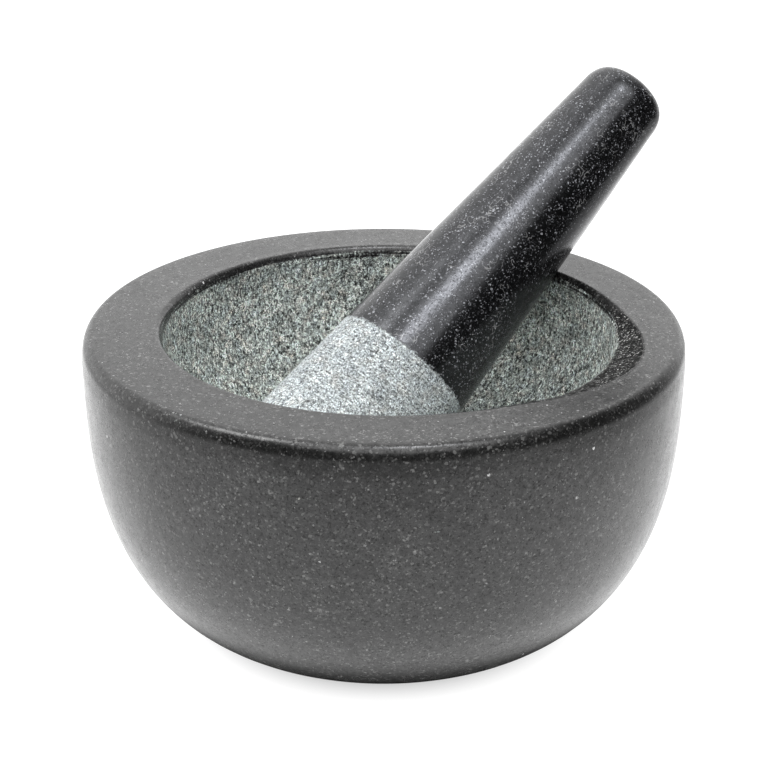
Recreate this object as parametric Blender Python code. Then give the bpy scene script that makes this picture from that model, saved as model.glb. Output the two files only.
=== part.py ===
"""Granite mortar and pestle, built as two separate solids.

Metres, +Z up. The mortar stands on z = 0, centred on the world Z axis. The
pestle rests at rest pose leaning across the bowl: its handle lies on the lip
at the back right and its grinding end touches the wall of the hollow.
"""
import math

import bpy
from mathutils import Matrix, Vector

MM = 0.001

# ---- mortar: outside, a turned shape about the world Z axis (mm) ----
MORTAR_HEIGHT = 78.5
BASE_RADIUS = 34.0
BASE_EDGE_TOP = 12.5         # height at which the rounded foot meets the wall
WIDEST_RADIUS = 75.6
WIDEST_HEIGHT = 72.0
BELLY_DROP = 79.0            # vertical half axis of the belly curve
BELLY_POWER = 2.85           # 2 is an ellipse, more is fuller
RIM_RADIUS = 75.4            # where the rounding of the rim's outer edge starts
RIM_EDGE_WIDTH = 2.5         # that rounding is a quarter ellipse
RIM_EDGE_DROP = 4.2

# ---- mortar: rough hollow, a round-bottomed bore with its own centre ----
HOLLOW_CENTRE_X = 1.4
HOLLOW_RADIUS = 57.0
HOLLOW_FLOOR = 16.0          # thickness of stone under the hollow
HOLLOW_BEND = 72.0           # above this height the wall is straight

# ---- mortar: polished lip between the flat rim and the hollow's mouth ----
LIP_DROP = 3.0               # how far the mouth lies below the rim
LIP_RADIUS = 58.7            # where the flat rim ends, about the hollow's centre
LIP_WIDE_EXTRA = 7.2         # the lip is ground wider towards one side
LIP_WIDE_AZIMUTH = -28.0     # degrees from +X
LIP_WIDE_SPREAD = 28.0
LIP_ROUND_WIDTH = 3.0        # up to this width its section is a round fillet
LIP_CHAMFER_POWER = 1.25     # a wider lip is flatter, like a chamfer

# ---- pestle: a turned, tapered rod about its own axis (mm) ----
PESTLE_LENGTH = 150.65
TOP_RADIUS = 11.7            # at the end of the handle
TAPER = 0.079                # radius gained per mm towards the grinding end
TOP_BELOW = 4.0              # the rounded end starts this far down the handle
TOP_HEIGHT = 7.2             # and is this long
TOP_POWER = 5.0              # 2 is a round dome, more is flatter with rounder edges
GRIND_DOME = 20.0            # length of the domed grinding end

# ---- how the pestle leans (rest pose) ----
LEAN_AZIMUTH = 38.73         # degrees from +X, seen from above
LEAN_ELEVATION = 36.84       # degrees above the horizontal
PESTLE_TOP = (65.95, 59.3, 120.42)   # centre of the handle's end

SEGMENTS = 72
PESTLE_SEGMENTS = 48

MATERIALS = {
    "polished_granite": ((0.036, 0.037, 0.038), 0.22),
    "honed_granite": ((0.050, 0.052, 0.053), 0.32),
}


def clear_scene():
    for obj in list(bpy.data.objects):
        bpy.data.objects.remove(obj, do_unlink=True)


def granite(name):
    colour, roughness = MATERIALS[name]
    material = bpy.data.materials.new(name)
    material.use_nodes = True
    shader = material.node_tree.nodes["Principled BSDF"]
    shader.inputs["Base Color"].default_value = (*colour, 1.0)
    shader.inputs["Roughness"].default_value = roughness
    shader.inputs["Metallic"].default_value = 0.0
    return material


def circle(radius, height, centre_x=0.0, count=SEGMENTS):
    """One ring of points in mm."""
    step = 2.0 * math.pi / count
    return [
        (centre_x + radius * math.cos(i * step), radius * math.sin(i * step), height)
        for i in range(count)
    ]


def loft(name, start, rings, end, material):
    """Closed skin from a start point through rings of points to an end point."""
    count = len(rings[0])
    points = [start]
    for ring in rings:
        points.extend(ring)
    points.append(end)
    faces = []
    for i in range(count):
        j = (i + 1) % count
        faces.append((0, 1 + j, 1 + i))
        last = 1 + (len(rings) - 1) * count
        faces.append((last + i, last + j, len(points) - 1))
        for k in range(len(rings) - 1):
            a = 1 + k * count
            b = a + count
            faces.append((a + i, a + j, b + j, b + i))
    mesh = bpy.data.meshes.new(name)
    mesh.from_pydata([tuple(c * MM for c in p) for p in points], [], faces)
    mesh.update()
    mesh.materials.append(material)
    for polygon in mesh.polygons:
        polygon.use_smooth = True
    obj = bpy.data.objects.new(name, mesh)
    bpy.context.scene.collection.objects.link(obj)
    return obj


def sharpen(obj, degrees):
    """Keep edges that bend more than this crisp, the rest smooth."""
    obj.data.set_sharp_from_angle(angle=math.radians(degrees))


def belly_radius(height):
    """Outer radius on the belly curve, below the widest height."""
    fall = (WIDEST_HEIGHT - height) / BELLY_DROP
    return WIDEST_RADIUS * (1.0 - fall ** BELLY_POWER) ** (1.0 / BELLY_POWER)


def outer_profile():
    """(radius, height) pairs from the flat base up to the flat rim."""
    profile = [(BASE_RADIUS, 0.0)]
    top = belly_radius(BASE_EDGE_TOP)
    nudge = 0.01
    slope = (belly_radius(BASE_EDGE_TOP + nudge) - top) / nudge
    corner = top - slope * BASE_EDGE_TOP
    steps = 5
    for i in range(1, steps):
        t = i / steps
        radius = BASE_RADIUS * (1 - t) ** 2 + corner * 2 * t * (1 - t) + top * t * t
        profile.append((radius, BASE_EDGE_TOP * t * t))
    belly_steps = 8
    for i in range(belly_steps + 1):
        t = i / belly_steps
        height = BASE_EDGE_TOP + (WIDEST_HEIGHT - BASE_EDGE_TOP) * t
        profile.append((belly_radius(height), height))
    edge_bottom = MORTAR_HEIGHT - RIM_EDGE_DROP
    round_steps = 4
    for i in range(round_steps + 1):
        angle = 0.5 * math.pi * i / round_steps
        radius = RIM_RADIUS - RIM_EDGE_WIDTH * (1.0 - math.cos(angle))
        profile.append((radius, edge_bottom + RIM_EDGE_DROP * math.sin(angle)))
    return profile


def lip_width(azimuth):
    """Width of the lip at this azimuth (degrees) about the hollow's centre."""
    away = (azimuth - LIP_WIDE_AZIMUTH + 180.0) % 360.0 - 180.0
    wide = LIP_WIDE_EXTRA * math.exp(-((away / LIP_WIDE_SPREAD) ** 2))
    return LIP_RADIUS + wide - HOLLOW_RADIUS


def lip_point(azimuth, share):
    """(radius, height) on the lip: share 0 is the rim's edge, 1 the mouth."""
    width = lip_width(azimuth)
    flatter = 0.25 * max(0.0, width - LIP_ROUND_WIDTH)
    power = max(LIP_CHAMFER_POWER, 2.0 - flatter)
    angle = 0.5 * math.pi * share
    inward = width * math.sin(angle) ** (2.0 / power)
    left = LIP_DROP * math.cos(angle) ** (2.0 / power)
    if share == 1.0:
        left = 0.0
    return HOLLOW_RADIUS + width - inward, MORTAR_HEIGHT - LIP_DROP + left


def lip_rings():
    """Rings of the lip, from the flat rim's inner edge to the hollow's mouth."""
    rings = []
    steps = 4
    for k in range(steps + 1):
        ring = []
        for i in range(SEGMENTS):
            azimuth = 360.0 * i / SEGMENTS
            radius, height = lip_point(azimuth, k / steps)
            x = HOLLOW_CENTRE_X + radius * math.cos(math.radians(azimuth))
            y = radius * math.sin(math.radians(azimuth))
            ring.append((x, y, height))
        rings.append(ring)
    return rings


def hollow_rings():
    """Rings of the round-bottomed hollow, going down."""
    depth = HOLLOW_BEND - HOLLOW_FLOOR
    rings = []
    steps = 11
    for i in range(steps):
        angle = 0.5 * math.pi * i / steps
        height = HOLLOW_BEND - depth * math.sin(angle)
        rings.append(circle(HOLLOW_RADIUS * math.cos(angle), height, HOLLOW_CENTRE_X))
    return rings


def build_mortar():
    rings = [circle(radius, height) for radius, height in outer_profile()]
    rings += lip_rings()
    rings += hollow_rings()
    mortar = loft(
        "mortar",
        (0.0, 0.0, 0.0),
        rings,
        (HOLLOW_CENTRE_X, 0.0, HOLLOW_FLOOR),
        granite("polished_granite"),
    )
    sharpen(mortar, 28.0)
    return mortar


def pestle_radius(down):
    """Radius this far down from the handle's end, before the ends are rounded."""
    return TOP_RADIUS + TAPER * down


def pestle_profile():
    """(radius, distance down from the handle's end), end to end."""
    profile = []
    end_steps = 8
    for i in range(1, end_steps + 1):
        angle = 0.5 * math.pi * i / end_steps
        radius = pestle_radius(TOP_BELOW) * math.sin(angle) ** (2.0 / TOP_POWER)
        profile.append((radius, TOP_BELOW - TOP_HEIGHT * math.cos(angle)))
    start = PESTLE_LENGTH - GRIND_DOME
    shaft_steps = 8
    for i in range(1, shaft_steps + 1):
        down = TOP_BELOW + (start - TOP_BELOW) * i / shaft_steps
        profile.append((pestle_radius(down), down))
    dome_steps = 9
    for i in range(1, dome_steps):
        angle = 0.5 * math.pi * i / dome_steps
        down = start + GRIND_DOME * math.sin(angle)
        profile.append((pestle_radius(down) * math.cos(angle), down))
    return profile


def build_pestle():
    """Lathe along local +Z, origin at the centre of the handle's end, then lean."""
    rings = [
        circle(radius, -down, count=PESTLE_SEGMENTS)
        for radius, down in reversed(pestle_profile())
    ]
    pestle = loft(
        "pestle",
        (0.0, 0.0, -PESTLE_LENGTH),
        rings,
        (0.0, 0.0, TOP_HEIGHT - TOP_BELOW),
        granite("honed_granite"),
    )
    sharpen(pestle, 40.0)
    azimuth = math.radians(LEAN_AZIMUTH)
    elevation = math.radians(LEAN_ELEVATION)
    axis = Vector((
        math.cos(elevation) * math.cos(azimuth),
        math.cos(elevation) * math.sin(azimuth),
        math.sin(elevation),
    ))
    turn = axis.to_track_quat("Z", "Y")
    place = Matrix.Translation(Vector(PESTLE_TOP) * MM)
    pestle.matrix_world = place @ turn.to_matrix().to_4x4()
    return pestle


clear_scene()
build_mortar()
build_pestle()
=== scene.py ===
"""Looks for the granite mortar and pestle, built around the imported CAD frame.

Both pieces are remade as fine meshes of the same size. Each is one stone with two finishes:
a polished one, and a rough ground one in the hollow and on the pestle's working end. Values
kept on the mesh say which finish is where. Lengths are in mm until they reach the mesh.
"""

import math

import bpy
import numpy as np
from mathutils import Matrix, Quaternion, Vector, noise


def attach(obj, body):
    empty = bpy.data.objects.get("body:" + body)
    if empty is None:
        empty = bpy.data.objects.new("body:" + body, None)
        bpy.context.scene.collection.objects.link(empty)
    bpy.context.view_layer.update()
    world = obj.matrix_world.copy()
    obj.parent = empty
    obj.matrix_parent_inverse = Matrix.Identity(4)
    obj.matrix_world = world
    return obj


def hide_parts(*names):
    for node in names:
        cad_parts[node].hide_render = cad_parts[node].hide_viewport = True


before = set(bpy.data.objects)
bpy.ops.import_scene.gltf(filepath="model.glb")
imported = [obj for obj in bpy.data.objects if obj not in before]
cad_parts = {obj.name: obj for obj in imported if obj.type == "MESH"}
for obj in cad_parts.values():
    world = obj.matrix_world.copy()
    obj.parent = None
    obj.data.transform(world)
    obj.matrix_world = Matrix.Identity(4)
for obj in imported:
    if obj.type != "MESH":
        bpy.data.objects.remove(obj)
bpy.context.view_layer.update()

MM = 0.001

# ---- mortar (mm), as in the CAD ----
MORTAR_HEIGHT = 78.5
BASE_RADIUS = 34.0
BASE_EDGE_TOP = 12.5
WIDEST_RADIUS = 75.6
WIDEST_HEIGHT = 72.0
BELLY_DROP = 79.0
BELLY_POWER = 2.85
RIM_RADIUS = 75.4
RIM_EDGE_WIDTH = 2.5
RIM_EDGE_DROP = 4.2
HOLLOW_CENTRE_X = 1.4
HOLLOW_RADIUS = 57.0
HOLLOW_FLOOR = 16.0
HOLLOW_BEND = 72.0
LIP_DROP = 3.0
LIP_RADIUS = 58.7
LIP_WIDE_EXTRA = 7.2
LIP_WIDE_AZIMUTH = -28.0
LIP_WIDE_SPREAD = 28.0
LIP_ROUND_WIDTH = 3.0
LIP_CHAMFER_POWER = 1.25
LIP_FLATTENING = 0.25
ROUND_POWER = 2.0

# ---- pestle (mm), as in the CAD ----
PESTLE_LENGTH = 150.65
TOP_RADIUS = 11.7
TAPER = 0.079
TOP_BELOW = 4.0
TOP_HEIGHT = 7.2
TOP_POWER = 6.5              # this alone differs: an edge 0.3 mm crisper than the CAD's
GRIND_DOME = 20.0
LEAN_AZIMUTH = 38.73
LEAN_ELEVATION = 36.84
PESTLE_TOP = (65.95, 59.3, 120.42)

# ---- where each finish is (mm) ----
ROUGH_START = 98.2           # the pestle's polished handle ends this far from its end
LIP_DULL = (2.2, 4.2)        # the lip is dull where it is wider than this
LIP_DULL_SHARE = 0.25        # and gets so over this share of its section
LIP_SCRATCHES = 3.0          # the ground finish fades out over this much of the lip
LIP_ROUGH = 0.58             # how rough the lip is right at the mouth
FOOT_DULL_AND_SHADE = (6.5, 10.5)      # the foot's rounding is dull and has painted shade, fading out between these heights

# ---- unevenness (mm) ----
WAVE_SIZE = 26.0             # slow waves left by hand polishing
WAVE_HEIGHT = 0.10
WAVES_ABOVE_BASE = (3.0, 12.0)   # the waves fade in between these heights
WAVES_BELOW_RIM = 1.5            # and fade out over this much below the rim
RIM_WAVE_SHARE = 0.5         # the flat rim has this share of their height
RIM_SINK = 0.05              # and lies this much lower, to stay within its full height
HANDLE_WAVE_SHARE = 0.6      # the handle has this share of it
HANDLE_WAVES_EASE = 6.0      # and they fade in over this length
RELIEF = ((0.18, 7.0), (0.12, 2.6), (0.09, 1.1))     # ground finish: height, size
RELIEF_SQUASH = 0.6          # heights count this much, so its features are taller
PIT_SIZE = 1.7
PIT_RARITY = 0.34
PIT_DEPTH = 1.1
RELIEF_EASE = (-0.2, 1.6)    # how it fades in below the hollow's mouth
WALL_STEP = 0.15             # the ground wall is set back this far from the lip
WALL_STEP_DROP = 0.5         # over this much height
WALL_DROPS = (0.3, 0.6, 1.0, 1.5, 2.1, 2.8)          # rings just below the mouth
PESTLE_RELIEF = 0.4          # the pestle's relief is lower than the hollow's,
PESTLE_SINK = 0.05           # set back a little
PESTLE_EASE = 1.2            # and fades in over this length
PESTLE_PATTERN = 90.0        # an offset that gives the pestle a pattern of its own
CHIP_AZIMUTH = 21.0          # degrees from +X, on the hollow's right wall
CHIP_HEIGHT = 62.0
CHIP_WIDTH = 0.7             # half width in degrees
CHIP_LENGTH = 3.2            # half length
CHIP_DEPTH = 0.5
CHIP_WANDER = 0.35           # how far its sides wander, in half widths
CHIP_WANDER_SIZE = 1.5

# ---- how finely the meshes are cut ----
MORTAR_SEGMENTS = 512
PESTLE_SEGMENTS = 256
FOOT_STEPS = 14
BELLY_STEPS = 40
RIM_EDGE_STEPS = 14
RIM_SHARES = (0.2, 0.4, 0.6, 0.8, 0.95)
LIP_STEPS = 14
HOLLOW_STEPS = 124
GRIND_DOME_STEPS = 60
GRIND_STEPS = 70
HANDLE_STEPS = 60
TOP_STEPS = 24

# ---- camera ----
CAMERA_DISTANCE = 450.0
CAMERA_ELEVATION = 23.33
CAMERA_TARGET = (0.03, 0.0, 60.9)
FOCAL_LENGTH = 82.34         # mm
SENSOR_WIDTH = 36.0          # mm

# ---- studio (m) ----
FLOOR = (-0.5, 0.4, -0.42, 4.0)      # left, right, front and back edges
FLOOR_SINK = 0.0002                  # keeps the floor clear of the mortar's base
FLOOR_ALBEDO = 0.25                  # the floor is white paper, lit from below
FLOOR_ROUGHNESS = 0.9
FLOOR_FOOT = (0.036, 0.056)          # a painted shadow around the foot, seen by the camera only
FLOOR_FOOT_SHARE = 0.3
FLOOR_GLOW = 1.35                    # the light it gives: none under the belly,
FLOOR_UNDER = (0.054, 0.069)
FLOOR_FRONT = (-0.25, -0.17)         # less from the front of the paper,
FLOOR_FRONT_SHARE = 0.15
FLOOR_RIGHT = (0.13, 0.28)           # from its right side
FLOOR_RIGHT_SHARE = 0.15
FLOOR_LEFT = (-0.30, -0.14)          # and a little less from its left side
FLOOR_LEFT_SHARE = 0.35
ROOM_LEVEL = 0.04
ROOM_PANELS = (                      # direction, cosines where it starts and is full, level
    ((-0.45, 1.0, 0.2), -0.10, 0.60, 1.40),     # wall behind and to the left
    ((0.0, 0.0, 1.0), 0.60, 0.85, 0.45),        # ceiling
    ((0.12, -0.69, 1.0), 0.82, 0.92, 2.5),      # wide soft panel above the camera
    ((-0.62, -0.08, 1.0), 0.95, 0.99, 7.5),     # smaller one high on the left
)
BACKDROP = 1.1                       # the white seen behind the object
WHITE = (1.0, 1.0, 1.0, 1.0)
SOFTBOX_PLACE = (0.12, -0.33, 0.97)
SOFTBOX_AIM = (0.0, 0.0, 0.08)
SOFTBOX_SIZE = (0.26, 0.26)
SOFTBOX_WATTS = 2.2
SOFTBOX_COLOUR = (0.95, 0.96, 1.0)


# ------------------------------------------------------------------ meshes
def ramp(low, high, value):
    """0 below low, 1 above high, smooth between."""
    t = min(1.0, max(0.0, (value - low) / (high - low)))
    return t * t * (3.0 - 2.0 * t)


def quarter(i, steps):
    """Angle of step i of a quarter turn."""
    return 0.5 * math.pi * i / steps


class Rings:
    """Rings of points (mm), and how rough, honed and foot-like each point is."""

    def __init__(self, count):
        self.count = count
        self.rows = []
        self.looks = {"rough": [], "honed": [], "foot": []}

    def add(self, x, y, z, rough=0.0, honed=0.0, foot=0.0):
        self.rows.append(np.stack([x, y, z], axis=1))
        for name, value in (("rough", rough), ("honed", honed), ("foot", foot)):
            self.looks[name].append(np.full(self.count, value, dtype=float))

    def skin(self, name, start, end):
        """Closed mesh through the rings, with pole points at both ends."""
        points = np.vstack([[start], *self.rows, [end]]) * MM
        i = np.arange(self.count)
        j = (i + 1) % self.count
        faces = [(0, 1 + b, 1 + a) for a, b in zip(i, j)]
        for k in range(len(self.rows) - 1):
            low = 1 + k * self.count
            high = low + self.count
            faces.extend(zip(low + i, low + j, high + j, high + i))
        last = 1 + (len(self.rows) - 1) * self.count
        faces.extend((last + a, last + b, len(points) - 1) for a, b in zip(i, j))
        mesh = bpy.data.meshes.new(name)
        mesh.from_pydata(points.tolist(), [], [tuple(int(v) for v in f) for f in faces])
        mesh.update()
        mesh.polygons.foreach_set("use_smooth", [True] * len(mesh.polygons))
        for look, rows in self.looks.items():
            ends = [[rows[0].mean()], *rows, [rows[-1].mean()]]
            values = mesh.attributes.new(look, "FLOAT", "POINT")
            values.data.foreach_set("value", np.concatenate(ends).astype(np.float32))
        obj = bpy.data.objects.new(name, mesh)
        bpy.context.scene.collection.objects.link(obj)
        return obj


def waviness(x, y, z):
    """Depth in mm of the slow unevenness that hand polishing leaves."""
    return WAVE_HEIGHT * noise.noise(Vector((x, y, z)) / WAVE_SIZE + Vector((5.0, 1.0, 8.0)))


def stone_relief(x, y, z):
    """Height in mm of the ground surface's unevenness: waves, gouges and pits."""
    p = Vector((x, y, RELIEF_SQUASH * z))
    uneven = sum(height * noise.noise(p / size) for height, size in RELIEF)
    pit = max(0.0, noise.noise(p / PIT_SIZE + Vector((31.0, 7.0, 3.0))) - PIT_RARITY)
    return uneven - PIT_DEPTH * pit


def chip(azimuth, height):
    """Depth in mm of the one long chip in the hollow's wall."""
    across = (azimuth - CHIP_AZIMUTH) / CHIP_WIDTH
    across += CHIP_WANDER * noise.noise(Vector((0.0, 0.0, height / CHIP_WANDER_SIZE)))
    along = (height - CHIP_HEIGHT) / CHIP_LENGTH
    return CHIP_DEPTH * math.exp(-(across * across) ** 2 - (along * along) ** 2)


def belly_radius(height):
    """Outer radius on the belly curve, below the widest height."""
    fall = (WIDEST_HEIGHT - height) / BELLY_DROP
    return WIDEST_RADIUS * (1.0 - fall ** BELLY_POWER) ** (1.0 / BELLY_POWER)


def outer_profile():
    """(radius, height) pairs from the flat base up to the flat rim."""
    profile = [(BASE_RADIUS * share, 0.0) for share in (0.5, 0.9, 1.0)]
    top = belly_radius(BASE_EDGE_TOP)
    nudge = 0.01
    slope = (belly_radius(BASE_EDGE_TOP + nudge) - top) / nudge
    corner = top - slope * BASE_EDGE_TOP
    for i in range(1, FOOT_STEPS):
        t = i / FOOT_STEPS
        radius = BASE_RADIUS * (1 - t) ** 2 + corner * 2 * t * (1 - t) + top * t * t
        profile.append((radius, BASE_EDGE_TOP * t * t))
    for i in range(BELLY_STEPS + 1):
        height = BASE_EDGE_TOP + (WIDEST_HEIGHT - BASE_EDGE_TOP) * i / BELLY_STEPS
        profile.append((belly_radius(height), height))
    edge_bottom = MORTAR_HEIGHT - RIM_EDGE_DROP
    for i in range(RIM_EDGE_STEPS + 1):
        angle = quarter(i, RIM_EDGE_STEPS)
        radius = RIM_RADIUS - RIM_EDGE_WIDTH * (1.0 - math.cos(angle))
        profile.append((radius, edge_bottom + RIM_EDGE_DROP * math.sin(angle)))
    return profile


def lip_width(azimuth):
    """Width of the lip at this azimuth (degrees) about the hollow's centre."""
    away = (azimuth - LIP_WIDE_AZIMUTH + 180.0) % 360.0 - 180.0
    wide = LIP_WIDE_EXTRA * math.exp(-((away / LIP_WIDE_SPREAD) ** 2))
    return LIP_RADIUS + wide - HOLLOW_RADIUS


def lip_point(azimuth, share):
    """(radius, height) on the lip: share 0 is the rim's edge, 1 the mouth."""
    width = lip_width(azimuth)
    flatter = LIP_FLATTENING * max(0.0, width - LIP_ROUND_WIDTH)
    power = max(LIP_CHAMFER_POWER, ROUND_POWER - flatter)
    angle = 0.5 * math.pi * share
    inward = width * math.sin(angle) ** (2.0 / power)
    left = LIP_DROP * max(0.0, math.cos(angle)) ** (2.0 / power)
    return HOLLOW_RADIUS + width - inward, MORTAR_HEIGHT - LIP_DROP + left


def hollow_profile():
    """(radius, height, share of the relief going outwards, share going down)."""
    mouth = MORTAR_HEIGHT - LIP_DROP
    profile = [(HOLLOW_RADIUS, mouth - drop, 1.0, 0.0) for drop in WALL_DROPS]
    for i in range(HOLLOW_STEPS):
        cos, sin = math.cos(quarter(i, HOLLOW_STEPS)), math.sin(quarter(i, HOLLOW_STEPS))
        height = HOLLOW_BEND - (HOLLOW_BEND - HOLLOW_FLOOR) * sin
        profile.append((HOLLOW_RADIUS * cos, height, cos, sin))
    return profile


def add_outside(rings, cos, sin):
    """From the flat base to the inner end of the rim's rounded edge."""
    for radius, height in outer_profile():
        wave = np.array([waviness(radius * c, radius * s, height) for c, s in zip(cos, sin)])
        wave *= ramp(*WAVES_ABOVE_BASE, height)
        wave *= ramp(0.0, WAVES_BELOW_RIM, MORTAR_HEIGHT - height)
        x, y = (radius + wave) * cos, (radius + wave) * sin
        # foot is 1 on the foot's rounding: dull there, with painted shade
        rings.add(x, y, np.full(len(x), height), foot=1.0 - ramp(*FOOT_DULL_AND_SHADE, height))


def add_rim_and_lip(rings, azimuths, cos, sin):
    """The flat rim, then the lip, which is dull where it is wide."""
    outer_x, outer_y, _ = rings.rows[-1].T
    lip = []
    for k in range(LIP_STEPS + 1):
        radii, heights = np.array([lip_point(a, k / LIP_STEPS) for a in azimuths]).T
        lip.append((HOLLOW_CENTRE_X + radii * cos, radii * sin, heights))
    inner_x, inner_y, _ = lip[0]
    for share in RIM_SHARES:
        x = outer_x + (inner_x - outer_x) * share
        y = outer_y + (inner_y - outer_y) * share
        wave = np.array([waviness(a, b, MORTAR_HEIGHT) for a, b in zip(x, y)])
        rings.add(x, y, MORTAR_HEIGHT - RIM_SINK + RIM_WAVE_SHARE * wave)
    wide = np.array([ramp(*LIP_DULL, lip_width(a)) for a in azimuths])
    mouth_x, mouth_y, mouth_z = lip[-1]
    for k, (x, y, z) in enumerate(lip):
        away = np.hypot(np.hypot(x - mouth_x, y - mouth_y), z - mouth_z)
        scratched = LIP_ROUGH * np.clip(1.0 - away / LIP_SCRATCHES, 0.0, 1.0)
        rings.add(x, y, z, scratched, wide * ramp(0.0, LIP_DULL_SHARE, k / LIP_STEPS))


def add_hollow(rings, azimuths, cos, sin):
    """The ground hollow. Its unevenness and its chip go into the stone."""
    mouth = MORTAR_HEIGHT - LIP_DROP
    for radius, height, across, down in hollow_profile():
        x, y = HOLLOW_CENTRE_X + radius * cos, radius * sin
        relief = np.array([stone_relief(a, b, height) for a, b in zip(x, y)])
        depth = -relief * ramp(*RELIEF_EASE, mouth - height)
        if height > 0.5 * HOLLOW_BEND:
            depth += np.array([chip(a, height) for a in azimuths])
        depth += WALL_STEP * ramp(0.0, WALL_STEP_DROP, mouth - height)
        x, y = x + depth * across * cos, y + depth * across * sin
        rings.add(x, y, height - depth * down, rough=1.0)


def build_mortar():
    """Rings from the base, up the outside, over the rim and down the hollow."""
    azimuths = np.arange(MORTAR_SEGMENTS) * 360.0 / MORTAR_SEGMENTS
    cos, sin = np.cos(np.radians(azimuths)), np.sin(np.radians(azimuths))
    rings = Rings(MORTAR_SEGMENTS)
    add_outside(rings, cos, sin)
    add_rim_and_lip(rings, azimuths, cos, sin)
    add_hollow(rings, azimuths, cos, sin)
    return rings.skin("mortar_stone", (0.0, 0.0, 0.0), (HOLLOW_CENTRE_X, 0.0, HOLLOW_FLOOR))


def pestle_radius(down):
    """Radius this far down from the handle's end, before the ends are rounded."""
    return TOP_RADIUS + TAPER * down


def pestle_profile():
    """(radius, distance down from the handle's end, how rough), grinding end first."""
    profile = []
    dome_start = PESTLE_LENGTH - GRIND_DOME
    for i in range(1, GRIND_DOME_STEPS):
        angle = quarter(i, GRIND_DOME_STEPS)
        down = dome_start + GRIND_DOME * math.cos(angle)
        profile.append((pestle_radius(down) * math.sin(angle), down, 1.0))
    for i in range(GRIND_STEPS):
        down = dome_start + (ROUGH_START - dome_start) * i / GRIND_STEPS
        profile.append((pestle_radius(down), down, 1.0))
    profile.append((pestle_radius(ROUGH_START), ROUGH_START, 0.5))
    for i in range(1, HANDLE_STEPS + 1):
        down = ROUGH_START + (TOP_BELOW - ROUGH_START) * i / HANDLE_STEPS
        profile.append((pestle_radius(down), down, 0.0))
    for i in range(1, TOP_STEPS):
        angle = quarter(i, TOP_STEPS)
        radius = pestle_radius(TOP_BELOW) * math.cos(angle) ** (2.0 / TOP_POWER)
        profile.append((radius, TOP_BELOW - TOP_HEIGHT * math.sin(angle), 0.0))
    return profile


def pestle_place():
    """Where the centre of the handle's end is (m), and how the pestle is turned."""
    azimuth, elevation = math.radians(LEAN_AZIMUTH), math.radians(LEAN_ELEVATION)
    axis = Vector((
        math.cos(elevation) * math.cos(azimuth),
        math.cos(elevation) * math.sin(azimuth),
        math.sin(elevation),
    ))
    return Vector(PESTLE_TOP) * MM, axis.to_track_quat("Z", "Y")


def build_pestle():
    """Turned about its own +Z, origin at the centre of the handle's end, then leant."""
    angles = np.arange(PESTLE_SEGMENTS) * 2.0 * math.pi / PESTLE_SEGMENTS
    cos, sin = np.cos(angles), np.sin(angles)
    rings = Rings(PESTLE_SEGMENTS)
    for radius, down, rough in pestle_profile():
        x, y, z = radius * cos, radius * sin, np.full(PESTLE_SEGMENTS, -down)
        if rough == 0.0 and down > TOP_BELOW:
            wave = np.array([waviness(PESTLE_PATTERN + a, b, -down) for a, b in zip(x, y)])
            wave *= HANDLE_WAVE_SHARE * ramp(0.0, HANDLE_WAVES_EASE, down - TOP_BELOW)
            x, y = x + wave * cos, y + wave * sin
        if rough == 1.0:
            relief = [stone_relief(PESTLE_PATTERN + a, b, -down) for a, b in zip(x, y)]
            relief = PESTLE_RELIEF * np.array(relief) - PESTLE_SINK
            relief *= ramp(0.0, PESTLE_EASE, down - ROUGH_START)
            along = max(0.0, (down - PESTLE_LENGTH) / GRIND_DOME + 1.0)
            across = math.sqrt(max(0.0, 1.0 - along * along))
            x, y = x + relief * across * cos, y + relief * across * sin
            z = z - relief * along
        rings.add(x, y, z, rough)
    tip, top = (0.0, 0.0, -PESTLE_LENGTH), (0.0, 0.0, TOP_HEIGHT - TOP_BELOW)
    pestle = rings.skin("pestle_stone", tip, top)
    place, turn = pestle_place()
    pestle.data.transform(Matrix.Translation(place) @ turn.to_matrix().to_4x4())
    return pestle


# --------------------------------------------------------------- materials
# Sizes of the stone's features are in mm, the same in both pieces. A span says between
# which values of its noise a feature grows from nothing to full.
NOISE_SPAN = (0.33, 0.67)
MIDDLE_SPAN = (0.35, 0.65)
WOBBLE_SIZE = 0.625          # grains get ragged outlines: wobbles this size
WOBBLE = 0.7                 # and this strong
TURNING_STRETCH = 0.05       # going round counts this much, so turning marks are long
CLOUD_SIZE = 14.0            # slow changes of the polished finish
CROWD_SIZE = 4.5             # crowds of specks
CROWD_SPAN = (0.44, 0.62)
CROWD_ON_RIM = 0.6           # how much denser they look on the rim,
RIM_SURFACE = (MORTAR_HEIGHT - 1.0, MORTAR_HEIGHT - 0.3)     # from here up
SMALL_CELL = 0.95            # a cell holds at most one speck
SMALL_SOFTNESS = 0.05        # in cells, as all specks' softness and radius
DUST_CELL = 0.5
DUST_RADIUS = 0.31
DUST_SOFTNESS = 0.10
BOLD_CELL = 3.4
BOLD_SOFTNESS = 0.02
SPECK_SIZES = (0.45, 1.3)    # the smallest and largest, in shares of the radius
SPECK_FAINTEST = 0.2
SPECK_WEAR_SIZE = 0.3        # specks are partly worn away
SPECK_WEAR_SPAN = (0.38, 0.56)
HONED_GRAIN = 0.34
HONED_EDGE = 1.2             # where the dull lip starts is uneven by features this size
# painted shade: the foot's colour is multiplied down to this
FOOT_SHADE = 0.25
VEIN_SIZE = 2.2
VEIN_WIDTH = 0.03
VEIN_AREA = 6.5              # veins are only in patches this size
VEIN_AREA_SPAN = (0.56, 0.66)
VEIN_GREY = 0.35
FINE_GRAIN = 0.28            # ground finish: bruised grains
PATCH_SIZE = 8.0
MOTTLE_SIZE = 1.5
GROOVE_SIZE = 0.45
HUE_SIZE = 2.6
FLECK_SIZE = 1.0
FLECK_AREA = 6.0             # flecks gather in patches this size,
FLECK_GATHER = 0.3           # this strongly
FLECK_SPAN = (0.15, 0.18)    # above the look's own value
FLECK_STRENGTH = 0.85
FLECK_GREY = 0.03
RAGGED_SIZE = 0.7            # where the finishes meet
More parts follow.
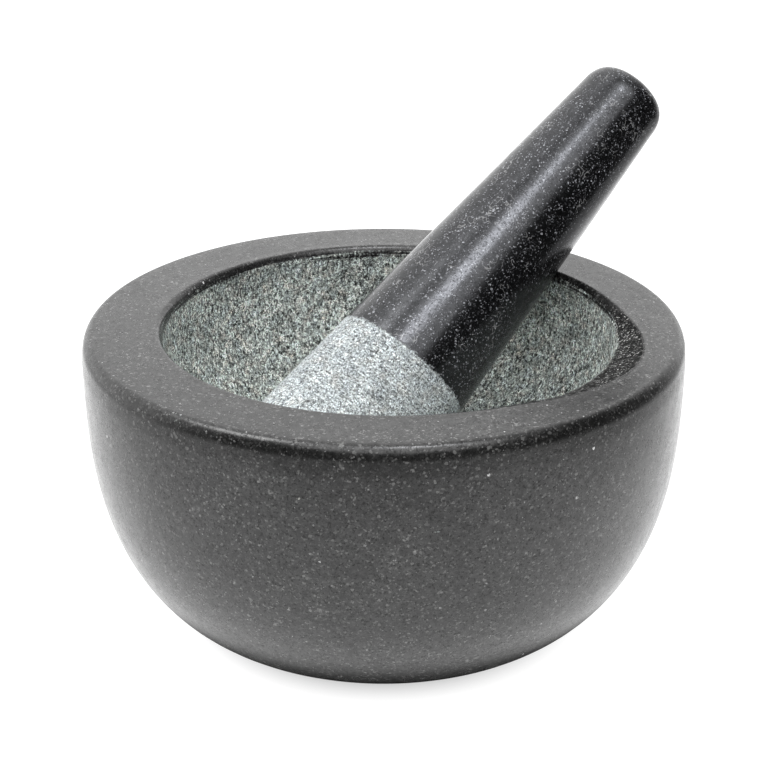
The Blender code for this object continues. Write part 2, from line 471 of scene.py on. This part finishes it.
LAP_SIZE = 1.0
SHINE_SIZE = 4.0             # slow changes of the polish's roughness
SHINE_SPAN = (0.3, 0.7)
SHINE_SPREAD = (-0.03, 0.04)
SPECK_ROUGHNESS = 0.12       # added on specks
HONED_ROUGHNESS = 0.5        # added on the dull lip
GROUND_ROUGHNESS = 0.8
DENT_SIZE = 0.6              # shallow dents in the polish
DENT_SPAN = (0.54, 0.63)
GLAZE_SIZE = 1.8             # changes of its gloss
GLAZE_SPREAD = (0.88, 1.14)
POLISH_SPECULAR = 0.52
DULL_SPECULAR = 0.08
BRUISE_SIZE = 0.4            # fine relief of the ground finish
BRUISE_HEIGHT = 0.13
RIPPLE_SIZE = 0.9            # and of the polish


def put(tree, socket, value):
    """Link a socket to another, or give it a plain value."""
    if isinstance(value, bpy.types.NodeSocket):
        tree.links.new(value, socket)
    else:
        socket.default_value = value


def add_node(tree, kind, values=None, **settings):
    """Add a node with its settings. Values are for inputs, by name or number."""
    node = tree.nodes.new(kind)
    for key, value in settings.items():
        setattr(node, key, value)
    for key, value in (values or {}).items():
        put(tree, node.inputs[key], value)
    return node


class Shader:
    """Small helper that adds and links nodes of one material."""

    def __init__(self, name):
        self.material = bpy.data.materials.new(name)
        self.material.use_nodes = True
        self.tree = self.material.node_tree
        self.surface = self.tree.nodes["Principled BSDF"]

    def add(self, kind, values=None, **settings):
        return add_node(self.tree, kind, values, **settings)

    def put(self, socket, value):
        put(self.tree, socket, value)

    def set(self, name, value):
        """Link or set one input of the surface."""
        self.put(self.surface.inputs[name], value)

    def math(self, operation, a, b=0.0, clamp=False):
        node = self.add("ShaderNodeMath", {0: a, 1: b}, operation=operation, use_clamp=clamp)
        return node.outputs[0]

    def times(self, *factors):
        product = factors[0]
        for factor in factors[1:]:
            product = self.math("MULTIPLY", product, factor)
        return product

    def fit(self, value, low, high, to_low=0.0, to_high=1.0):
        """Map value smoothly from low..high to to_low..to_high."""
        values = {0: value, 1: low, 2: high, 3: to_low, 4: to_high}
        node = self.add("ShaderNodeMapRange", values, interpolation_type="SMOOTHSTEP")
        return node.outputs[0]

    def vary(self, value, share, span=NOISE_SPAN):
        """Turn a noise into a factor from 1 - share to 1 + share."""
        return self.fit(value, *span, 1.0 - share, 1.0 + share)

    def mix(self, share, a, b, blend="MIX"):
        node = self.add("ShaderNodeMix", data_type="RGBA", blend_type=blend)
        self.put(node.inputs[0], share)
        self.put(node.inputs[6], a)
        self.put(node.inputs[7], b)
        return node.outputs[2]

    def blend(self, share, a, b):
        """The same for plain numbers."""
        return self.add("ShaderNodeMix", {0: share, 2: a, 3: b}).outputs[0]

    def vector(self, operation, values):
        return self.add("ShaderNodeVectorMath", values, operation=operation).outputs[0]

    def split(self, colour):
        """The three values of a colour."""
        return self.add("ShaderNodeSeparateColor", {0: colour}).outputs

    def look(self, name):
        """A value kept on the mesh."""
        return self.add("ShaderNodeAttribute", attribute_name=name).outputs["Fac"]

    def noise(self, where, size, detail=3.0, rough=0.55, output=0):
        """Noise whose features are about size mm across. Output 1 is a vector."""
        values = {"Vector": where, "Scale": 1.0 / size, "Detail": detail, "Roughness": rough}
        return self.add("ShaderNodeTexNoise", values).outputs[output]

    def bumpy(self, where, size, detail, share):
        """Noise around zero, of this strength."""
        centred = self.math("SUBTRACT", self.noise(where, size, detail), 0.5)
        return self.times(centred, share)

    def cells(self, where, size):
        return self.add("ShaderNodeTexVoronoi", {"Vector": where, "Scale": 1.0 / size})


def grey(value, tint=(1.0, 1.0, 1.0)):
    return (value * tint[0], value * tint[1], value * tint[2], 1.0)


def colours(s, chance, stops):
    """Colour picked by a chance (0 to 1): stops are (chance, colour)."""
    node = s.add("ShaderNodeValToRGB", {0: chance})
    elements = node.color_ramp.elements
    while len(elements) < len(stops):
        elements.new(0.5)
    for element, (place, colour) in zip(elements, stops):
        element.position = place
        element.color = colour
    return node.outputs[0]


def minerals(s, where, size, stops, tint=(1.0, 1.0, 1.0)):
    """Mosaic of grains about size mm across: stops are (chance, grey)."""
    chance = s.split(s.cells(where, size).outputs["Color"])[0]
    return colours(s, chance, [(place, grey(value, tint)) for place, value in stops])


def specks(s, where, size, radius, share, softness):
    """Mask of mineral specks: cells of size mm, a share of them holding one."""
    cell = s.cells(where, size)
    chosen, larger, glowing = s.split(cell.outputs["Color"])
    smallest, largest = SPECK_SIZES
    grown = s.fit(larger, 0.0, 1.0, smallest * radius, largest * radius)
    near = s.math("SUBTRACT", grown, cell.outputs["Distance"])
    dot = s.fit(near, -softness, softness)
    pick = s.math("GREATER_THAN", chosen, 1.0 - share)
    glow = s.fit(s.math("POWER", glowing, 3.0), 0.0, 1.0, SPECK_FAINTEST, 1.0)
    worn = s.noise(where, SPECK_WEAR_SIZE, 2.0)
    worn = s.fit(worn, *SPECK_WEAR_SPAN, SPECK_FAINTEST, 1.0)
    return s.times(dot, pick, s.times(glow, worn))


def brighter(s, colour, factor):
    """Multiply a colour by a plain number."""
    even = s.add("ShaderNodeCombineColor", {0: factor, 1: factor, 2: factor}).outputs[0]
    return s.mix(1.0, colour, even, "MULTIPLY")


def own_place(s, place, turn):
    """Coordinates in mm along the piece's own axes."""
    coords = s.add("ShaderNodeTexCoord").outputs["Object"]
    values = {"Vector": coords, "Location": place, "Rotation": turn.to_euler()}
    own = s.add("ShaderNodeMapping", values, vector_type="TEXTURE").outputs[0]
    return s.vector("SCALE", {0: own, "Scale": 1.0 / MM})


def wobbled(s, own):
    """The same coordinates, wobbled so that grains get ragged outlines."""
    wobble = s.noise(own, WOBBLE_SIZE, 4.0, 0.7, output=1)
    return s.vector("ADD", {0: own, 1: s.vector("SCALE", {0: wobble, "Scale": WOBBLE})})


def turned(s, own, centre_x):
    """Coordinates in which marks from turning are long along the circumference."""
    x, y, z = s.add("ShaderNodeSeparateXYZ", {0: own}).outputs
    x = s.math("SUBTRACT", x, centre_x)
    across = s.math("SQRT", s.math("ADD", s.times(x, x), s.times(y, y)))
    stretched = {
        0: s.times(x, TURNING_STRETCH),
        1: s.times(y, TURNING_STRETCH),
        2: s.math("ADD", across, z),
    }
    return s.add("ShaderNodeCombineXYZ", stretched).outputs[0]


def polished_finish(s, look, own, mm, honed, foot):
    """A fine dark mosaic with light specks in loose crowds: colour, mask of small specks."""
    tint = look["tint"]
    coarse = minerals(s, mm, look["coarse"], look["polished"], tint)
    fine = minerals(s, mm, look["fine"], look["polished_fine"], tint)
    cloud = s.vary(s.noise(own, CLOUD_SIZE, 4.0), look["cloud"])
    colour = brighter(s, s.mix(0.5, coarse, fine), cloud)

    height = s.add("ShaderNodeSeparateXYZ", {0: own}).outputs[2]
    rim = s.fit(height, *RIM_SURFACE)
    crowd = s.fit(s.noise(own, CROWD_SIZE, 4.0), *CROWD_SPAN, look["lonely"], 1.0)
    crowd = s.math("ADD", crowd, s.times(rim, CROWD_ON_RIM))
    small = specks(s, mm, SMALL_CELL, look["small_size"], look["small_share"], SMALL_SOFTNESS)
    small = s.times(small, crowd)
    shown = s.math("MULTIPLY", small, look["small_strength"], clamp=True)
    colour = s.mix(shown, colour, look["speck"])
    dust = specks(s, mm, DUST_CELL, DUST_RADIUS, look["dust_share"], DUST_SOFTNESS)
    dust = s.math("MULTIPLY", s.times(dust, crowd), look["dust_strength"], clamp=True)
    colour = s.mix(dust, colour, look["speck"])

    colour = s.mix(honed, colour, minerals(s, mm, HONED_GRAIN, look["honed"], tint))
    # Painted shade: the stone is darker on the foot's rounding, next to the floor.
    colour = brighter(s, colour, s.fit(foot, 0.0, 1.0, 1.0, FOOT_SHADE))
    bold = specks(s, mm, BOLD_CELL, look["bold_size"], look["bold_share"], BOLD_SOFTNESS)
    colour = s.mix(bold, colour, look["bold"])
    vein = s.math("ABSOLUTE", s.math("SUBTRACT", s.noise(own, VEIN_SIZE, 1.0), 0.5))
    vein = s.fit(vein, 0.0, VEIN_WIDTH, look["vein"], 0.0)
    area = s.fit(s.noise(own, VEIN_AREA, 1.0), *VEIN_AREA_SPAN)
    return s.mix(s.times(vein, area), colour, grey(VEIN_GREY)), small


def ground_finish(s, look, own, mm, lines):
    """The same minerals bruised light, with dark flecks, patches and turning marks."""
    along = s.vector("MULTIPLY", {0: mm, 1: look["streak"]})
    height = s.add("ShaderNodeSeparateXYZ", {0: own}).outputs[2]
    light = minerals(s, along, look["grain"], look["ground"])
    bruise = s.split(s.cells(mm, FINE_GRAIN).outputs["Color"])[0]
    fine = s.vary(bruise, look["bite"], (0.0, 1.0))
    patch = s.vary(s.noise(own, PATCH_SIZE), look["patch"])
    mottle = s.vary(s.noise(along, MOTTLE_SIZE, 3.0, 0.6), look["mottle"])
    # Painted shade: the ground stone is darker low in the hollow, down to this share.
    depth = s.fit(height, *look["shade_heights"], look["shade_share"], 1.0)
    groove = s.vary(s.noise(lines, GROOVE_SIZE, 2.0), look["groove"], MIDDLE_SPAN)
    light = brighter(s, light, s.times(fine, s.times(patch, mottle, depth), groove))
    hues = [(place, grey(1.0, hue)) for place, hue in look["ground_tints"]]
    hue = colours(s, s.noise(own, HUE_SIZE, 3.0, 0.6), hues)
    light = s.mix(1.0, light, hue, "MULTIPLY")
    gather = s.times(s.noise(along, FLECK_AREA), FLECK_GATHER)
    fleck = s.math("ADD", s.noise(along, FLECK_SIZE, 3.0, 0.65), gather)
    fleck = s.fit(fleck, *(look["fleck"] + more for more in FLECK_SPAN))
    return s.mix(s.times(fleck, FLECK_STRENGTH), light, grey(FLECK_GREY))


def ground_share(s, look, own, lines):
    """Where the stone is ground. The finishes meet raggedly, with a few turned scratches."""
    ragged = s.bumpy(own, RAGGED_SIZE, 3.0, look["ragged"])
    lap = s.bumpy(lines, LAP_SIZE, 2.0, look["lap"])
    edge = s.math("ADD", s.look("rough"), s.math("ADD", ragged, lap))
    return s.fit(edge, *MIDDLE_SPAN)


def honed_share(s, own):
    """Where the lip is dull, with an uneven edge."""
    uneven = s.math("SUBTRACT", s.noise(own, HONED_EDGE), 0.5)
    return s.fit(s.math("ADD", s.look("honed"), uneven), *MIDDLE_SPAN)


def roughness(s, look, own, small, honed, ground):
    """Smooth where polished, less so on small specks and on the dull lip."""
    low, high = (look["polish"] + more for more in SHINE_SPREAD)
    shine = s.fit(s.noise(own, SHINE_SIZE, 4.0), *SHINE_SPAN, low, high)
    shine = s.math("ADD", shine, s.times(small, SPECK_ROUGHNESS))
    shine = s.math("ADD", shine, s.times(honed, HONED_ROUGHNESS))
    return s.blend(ground, shine, GROUND_ROUGHNESS)


def gloss(s, look, mm, dents, dull):
    """How strongly the surface mirrors: uneven, less in dents, hardly where dull."""
    pits = s.fit(dents, 0.0, 1.0, 1.0, 1.0 - look["pits"])
    glaze = s.fit(s.noise(mm, GLAZE_SIZE), *NOISE_SPAN, *GLAZE_SPREAD)
    return s.times(pits, glaze, s.fit(dull, 0.0, 1.0, POLISH_SPECULAR, DULL_SPECULAR))


def fine_relief(s, look, own, mm, dents, light, ground):
    """Height in mm: shallow ripples and dents in the polish, bruises where ground."""
    bruises = s.times(s.noise(mm, BRUISE_SIZE, 3.0, 0.7), BRUISE_HEIGHT)
    coarse = s.math("ADD", bruises, s.times(s.split(light)[1], look["pitting"]))
    smooth = s.times(s.noise(own, RIPPLE_SIZE, 2.0), look["polish_bump"])
    smooth = s.math("SUBTRACT", smooth, s.times(dents, look["dent"]))
    return s.blend(ground, smooth, coarse)


def stone(name, look, place, turn):
    """Polished dark granite that turns to light ground granite where rough is 1.

    The patterns follow the piece's own axes: place (m) and turn say where those lie.
    """
    s = Shader(name)
    own = own_place(s, place, turn)
    mm = wobbled(s, own)
    lines = turned(s, own, look["turning_centre"])
    ground = ground_share(s, look, own, lines)
    honed = honed_share(s, own)
    foot = s.look("foot")
    polished, small = polished_finish(s, look, own, mm, honed, foot)
    light = ground_finish(s, look, own, mm, lines)
    s.set("Base Color", s.mix(ground, polished, light))
    s.set("Roughness", roughness(s, look, own, small, honed, ground))
    dents = s.fit(s.noise(mm, DENT_SIZE, 3.0, 0.65), *DENT_SPAN)
    dull = s.math("MAXIMUM", s.math("MAXIMUM", ground, honed), foot)
    s.set("Specular IOR Level", gloss(s, look, mm, dents, dull))
    s.set("Specular Tint", grey(1.0, look["gloss_tint"]))
    relief = fine_relief(s, look, own, mm, dents, light, ground)
    bump = s.add("ShaderNodeBump", {"Strength": 1.0, "Distance": MM, "Height": relief})
    s.set("Normal", bump.outputs[0])
    return s.material


# What differs between the two pieces. In the lists of pairs, a chance picks the grey of
# a grain, or a slow noise picks the colour that the ground stone is tinted with.
MORTAR_POLISH = [(0.0, 0.004), (0.5, 0.009), (0.80, 0.017), (0.95, 0.045), (1.0, 0.20)]
MORTAR_LOOK = {
    "tint": (1.0, 1.0, 0.98),
    "coarse": 0.6,
    "fine": 0.36,
    "polished": MORTAR_POLISH,
    "polished_fine": MORTAR_POLISH,
    "honed": [(0.0, 0.002), (0.60, 0.007), (0.84, 0.04), (0.95, 0.16), (1.0, 0.48)],
    "lonely": 0.15,
    "cloud": 0.20,
    "small_size": 0.20,
    "small_share": 0.07,
    "small_strength": 0.8,
    "dust_share": 0.22,
    "dust_strength": 0.5,
    "speck": grey(0.5),
    "bold_size": 0.085,
    "bold_share": 0.22,
    "bold": grey(0.85),
    "vein": 0.0,
    "gloss_tint": (1.0, 1.0, 1.0),
    "polish": 0.24,
    "polish_bump": 0.010,
    "dent": 0.010,
    "pits": 0.5,
    "ragged": 0.7,
    "lap": 1.3,
    "turning_centre": HOLLOW_CENTRE_X,
    "streak": (1.0, 1.0, 0.58),
    "grain": 0.46,
    "ground": [(0.0, 0.04), (0.15, 0.27), (0.45, 0.49), (0.82, 0.73), (1.0, 0.98)],
    # painted shade low in the hollow: the heights it fades over, and its share at the bottom
    "shade_heights": (22.0, 60.0),
    "shade_share": 0.5,
    "bite": 0.75,
    "groove": 0.05,
    "ground_tints": [
        (0.34, (0.91, 1.0, 0.99)),
        (0.46, (0.91, 1.0, 0.94)),
        (0.58, (0.96, 1.0, 0.94)),
        (0.68, (1.01, 0.99, 0.90)),
    ],
    "patch": 0.18,
    "mottle": 0.24,
    "fleck": 0.60,
    "pitting": 0.12,
}
PESTLE_LOOK = dict(MORTAR_LOOK)
PESTLE_LOOK.update({
    "tint": (0.97, 0.99, 1.06),
    "coarse": 0.40,
    "fine": 0.25,
    "polished": [(0.0, 0.001), (0.80, 0.003), (0.94, 0.012), (0.975, 0.07), (1.0, 0.6)],
    "polished_fine": [(0.0, 0.001), (0.66, 0.002), (0.88, 0.018), (0.96, 0.10), (1.0, 0.55)],
    "small_size": 0.115,
    "small_share": 0.11,
    "small_strength": 1.0,
    "dust_share": 0.20,
    "dust_strength": 0.36,
    "lonely": 0.05,
    "speck": grey(0.8, (0.98, 0.98, 1.03)),
    "bold_share": 0.28,
    "vein": 0.5,
    "gloss_tint": (0.93, 0.95, 1.0),
    "polish": 0.19,
    "polish_bump": 0.011,
    "dent": 0.007,
    "pits": 0.35,
    "turning_centre": 0.0,
    "ragged": 0.9,
    "lap": 0.3,
    "streak": (1.0, 1.0, 1.3),
    "grain": 0.45,
    "ground": [(0.0, 0.12), (0.12, 0.30), (0.5, 0.43), (0.85, 0.54), (1.0, 0.76)],
    # no painted shade on the pestle
    "shade_share": 1.0,
    "bite": 0.6,
    "groove": 0.18,
    "ground_tints": [
        (0.36, (0.89, 0.97, 1.0)),
        (0.50, (0.92, 0.99, 1.0)),
        (0.58, (0.94, 1.0, 1.0)),
        (0.66, (0.97, 1.0, 0.98)),
    ],
    "patch": 0.10,
    "mottle": 0.08,
    "fleck": 0.615,
    "pitting": 0.09,
})


# ------------------------------------------------------------------ studio
def build_floor():
    """White paper lit from below, with a soft painted shadow around the foot.

    It looks plain apart from that. The light it gives is less on three sides and none
    under the belly, which shades the lower part of the bowl.
    """
    mesh = bpy.data.meshes.new("floor")
    left, right, front, back = FLOOR
    corners = [(left, front, 0), (right, front, 0), (right, back, 0), (left, back, 0)]
    mesh.from_pydata(corners, [], [(0, 1, 2, 3)])
    floor = bpy.data.objects.new("floor", mesh)
    floor.location.z = -FLOOR_SINK
    bpy.context.scene.collection.objects.link(floor)
    s = Shader("white_paper")
    where = s.add("ShaderNodeTexCoord").outputs["Object"]
    away = s.add("ShaderNodeVectorMath", {0: where}, operation="LENGTH").outputs["Value"]
    x, y, _ = s.add("ShaderNodeSeparateXYZ", {0: where}).outputs
    # Painted shadow: the paper's glow is dimmer round the foot, for the camera only.
    seen = s.fit(away, *FLOOR_FOOT, FLOOR_FOOT_SHARE, 1.0)
    # The glow it gives out has a painted shadow too: none under the belly.
    given = s.times(
        s.fit(away, *FLOOR_UNDER, 0.0, FLOOR_GLOW),
        s.fit(y, *FLOOR_FRONT, FLOOR_FRONT_SHARE, 1.0),
        s.fit(x, *FLOOR_RIGHT, 1.0, FLOOR_RIGHT_SHARE),
        s.fit(x, *FLOOR_LEFT, FLOOR_LEFT_SHARE, 1.0),
    )
    path = s.add("ShaderNodeLightPath").outputs["Is Camera Ray"]
    s.set("Base Color", grey(FLOOR_ALBEDO))
    s.set("Roughness", FLOOR_ROUGHNESS)
    s.set("Specular IOR Level", 0.0)
    s.set("Emission Color", WHITE)
    s.set("Emission Strength", s.blend(path, given, seen))
    mesh.materials.append(s.material)


def build_world():
    """White wall behind and to the left, pale ceiling and two soft panels overhead.

    They light the object. What is seen behind it is plain white.
    """
    world = bpy.data.worlds.new("studio")
    bpy.context.scene.world = world
    world.use_nodes = True
    tree = world.node_tree
    tree.nodes.clear()
    way = add_node(tree, "ShaderNodeTexCoord").outputs["Generated"]
    level = ROOM_LEVEL
    for towards, start, full, strength in ROOM_PANELS:
        values = {0: way, 1: Vector(towards).normalized()}
        facing = add_node(tree, "ShaderNodeVectorMath", values, operation="DOT_PRODUCT")
        values = {0: facing.outputs["Value"], 1: start, 2: full, 3: 0.0, 4: strength}
        panel = add_node(tree, "ShaderNodeMapRange", values, interpolation_type="SMOOTHSTEP")
        values = {0: level, 1: panel.outputs[0]}
        level = add_node(tree, "ShaderNodeMath", values, operation="ADD").outputs[0]
    room = add_node(tree, "ShaderNodeBackground", {0: WHITE, 1: level}).outputs[0]
    seen = add_node(tree, "ShaderNodeBackground", {0: WHITE, 1: BACKDROP}).outputs[0]
    path = add_node(tree, "ShaderNodeLightPath").outputs["Is Camera Ray"]
    both = add_node(tree, "ShaderNodeMixShader", {0: path, 1: room, 2: seen}).outputs[0]
    add_node(tree, "ShaderNodeOutputWorld", {0: both})


def build_lights():
    """One soft box in front, high above the camera and a little to the right."""
    data = bpy.data.lights.new("softbox", "AREA")
    data.shape = "RECTANGLE"
    data.size, data.size_y = SOFTBOX_SIZE
    data.energy = SOFTBOX_WATTS
    data.color = SOFTBOX_COLOUR
    softbox = bpy.data.objects.new("softbox", data)
    softbox.location = SOFTBOX_PLACE
    aim = Vector(SOFTBOX_AIM) - softbox.location
    softbox.rotation_euler = aim.to_track_quat("-Z", "Y").to_euler()
    bpy.context.scene.collection.objects.link(softbox)


def build_camera():
    """In front of the bowl, looking down at it."""
    data = bpy.data.cameras.new("camera")
    data.sensor_width = SENSOR_WIDTH
    data.lens = FOCAL_LENGTH
    data.clip_start = 0.01
    camera = bpy.data.objects.new("camera", data)
    tilt = math.radians(CAMERA_ELEVATION)
    back = Vector((0.0, -math.cos(tilt), math.sin(tilt)))
    camera.location = (Vector(CAMERA_TARGET) + back * CAMERA_DISTANCE) * MM
    camera.rotation_euler = (math.radians(90.0 - CAMERA_ELEVATION), 0.0, 0.0)
    bpy.context.scene.collection.objects.link(camera)
    bpy.context.scene.camera = camera


mortar = build_mortar()
mortar.data.materials.append(stone("mortar_granite", MORTAR_LOOK, Vector(), Quaternion()))
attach(mortar, "mortar")
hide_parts("mortar")

pestle = build_pestle()
pestle.data.materials.append(stone("pestle_granite", PESTLE_LOOK, *pestle_place()))
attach(pestle, "pestle")
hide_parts("pestle")

build_floor()
build_world()
build_lights()
build_camera()
bpy.context.scene.view_settings.view_transform = "Standard"
bpy.context.scene.view_settings.look = "None"
